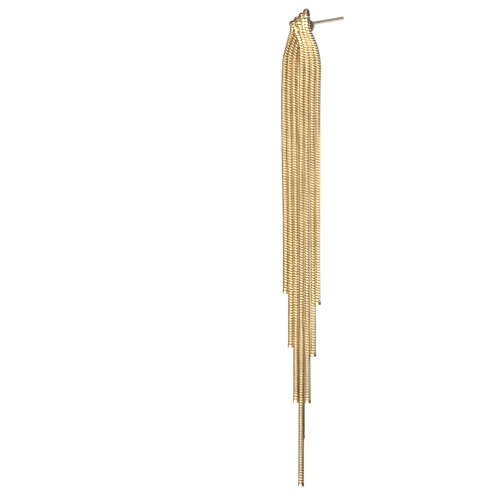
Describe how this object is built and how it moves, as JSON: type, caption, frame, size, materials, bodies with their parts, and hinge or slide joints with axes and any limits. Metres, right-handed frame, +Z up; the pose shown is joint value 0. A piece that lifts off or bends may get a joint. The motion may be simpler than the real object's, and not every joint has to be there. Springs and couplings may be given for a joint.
{
  "type": "dangle earring",
  "caption": "Long tassel earring of four round snake chains, folded into a slanting row of loops on a short bar behind them, on a straight ear post, with tails of staggered lengths.",
  "frame": {"origin": "on the ear post's axis at the back face of its pad, where the earring sits against the ear", "axes": "+Y along the post, away from the front; +Z up; the chain folds and the front face -Y"},
  "size_m": [0.0105, 0.015, 0.1154],
  "materials": {
    "ear_post": "polished pale metal",
    "snake_chain_1": "polished pale gold",
    "snake_chain_2": "polished pale gold",
    "snake_chain_3": "polished pale gold",
    "snake_chain_4": "polished pale gold"
  },
  "bodies": {
    "root": {"ear_post": "ear_post", "snake_chain_1": "snake_chain_1", "snake_chain_2": "snake_chain_2", "snake_chain_3": "snake_chain_3", "snake_chain_4": "snake_chain_4"}
  },
  "joints": []
}
